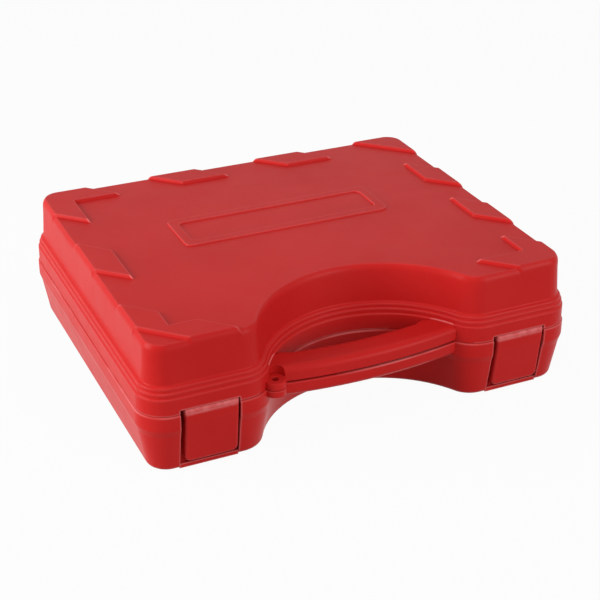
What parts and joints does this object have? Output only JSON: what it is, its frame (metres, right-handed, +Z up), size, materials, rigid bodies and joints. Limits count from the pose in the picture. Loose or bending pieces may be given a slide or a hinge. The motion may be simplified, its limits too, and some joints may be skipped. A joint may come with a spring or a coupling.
{
  "type": "socket wrench set in case",
  "caption": "Closed red moulded tool case with a scooped carrying handle, fold-down latches and a hinged lid over a tray of sockets, a ratchet and extension bars.",
  "frame": {"origin": "on the ground under the middle of the whole closed case", "axes": "+Z up through the lid, -Y out of the handle side, +X to the right seen from the handle"},
  "size_m": [0.32, 0.275, 0.0952],
  "materials": {
    "case_red": "red blow-moulded polyethylene with a fine satin texture and paler trimmed edges",
    "insert_black": "black moulded inner wall with a fine matt texture",
    "tool_chrome": "satin chrome plate on forged and turned steel",
    "plain_steel": "bright hardened steel, turned",
    "dark_steel": "blackened steel",
    "grip_rubber": "black moulded grip with soft ribs",
    "plug_rubber": "soft black rubber sleeve"
  },
  "bodies": {
    "base": {"base_shell": "case_red", "tool_tray": "insert_black", "hinge_pins": "plain_steel", "ratchet_body": "tool_chrome", "ratchet_grip": "grip_rubber", "ratchet_cover": "tool_chrome", "ratchet_cover_screws": "plain_steel", "long_extension": "tool_chrome", "long_extension_ball": "plain_steel", "short_extension": "tool_chrome", "short_extension_ball": "plain_steel", "socket_10": "tool_chrome", "socket_11": "tool_chrome", "socket_12": "tool_chrome", "socket_13": "tool_chrome", "socket_14": "tool_chrome", "socket_15": "tool_chrome", "socket_16": "tool_chrome", "socket_17": "tool_chrome", "socket_18": "tool_chrome", "socket_19": "tool_chrome", "socket_20": "tool_chrome", "socket_21": "tool_chrome", "socket_22": "tool_chrome", "socket_24": "tool_chrome", "socket_27": "tool_chrome", "socket_30": "tool_chrome", "socket_32": "tool_chrome", "plug_socket_16": "tool_chrome", "plug_socket_21": "tool_chrome", "plug_rubber_16": "plug_rubber", "plug_rubber_21": "plug_rubber"},
    "lid": {"lid_shell": "case_red", "lid_liner": "insert_black"},
    "left_latch": {"left_latch": "case_red"},
    "right_latch": {"right_latch": "case_red"},
    "ratchet_drive": {"ratchet_drive_gear": "plain_steel", "ratchet_drive_ball": "plain_steel"},
    "ratchet_pawl": {"ratchet_pawl": "plain_steel"},
    "ratchet_lever": {"ratchet_lever": "dark_steel"},
    "ratchet_button": {"ratchet_button": "tool_chrome"}
  },
  "joints": [
    {"name": "lid_hinge", "type": "hinge", "parent": "base", "child": "lid", "pos_m": [0, 0.1325, 0.045], "axis": [-1, 0, 0], "range_deg": [0, 110]},
    {"name": "left_latch_fold", "type": "hinge", "parent": "lid", "child": "left_latch", "pos_m": [-0.115, -0.1376, 0.0474], "axis": [-1, 0, 0], "range_deg": [0, 120]},
    {"name": "right_latch_fold", "type": "hinge", "parent": "lid", "child": "right_latch", "pos_m": [0.115, -0.1376, 0.0474], "axis": [-1, 0, 0], "range_deg": [0, 120]},
    {"name": "drive_turn", "type": "hinge", "parent": "base", "child": "ratchet_drive", "pos_m": [-0.108, 0.09324, 0.045], "axis": [0, 0, 1], "continuous": true},
    {"name": "direction_lever", "type": "hinge", "parent": "base", "child": "ratchet_lever", "pos_m": [-0.108, 0.09324, 0.045], "axis": [0, 0, 1], "range_deg": [-18, 18]},
    {"name": "pawl_shift", "type": "hinge", "parent": "base", "child": "ratchet_pawl", "pos_m": [-0.108, 0.09324, 0.045], "axis": [0, 0, 1], "range_deg": [-8, 8]},
    {"name": "release_press", "type": "slide", "parent": "ratchet_drive", "child": "ratchet_button", "axis": [0, 0, -1], "range_m": [0, 0.0025], "stiffness_N_per_m": 500, "springref_m": -0.004}
  ],
  "couplings": [
    {"joint": "pawl_shift", "follows": "direction_lever", "ratio": 0.35}
  ]
}
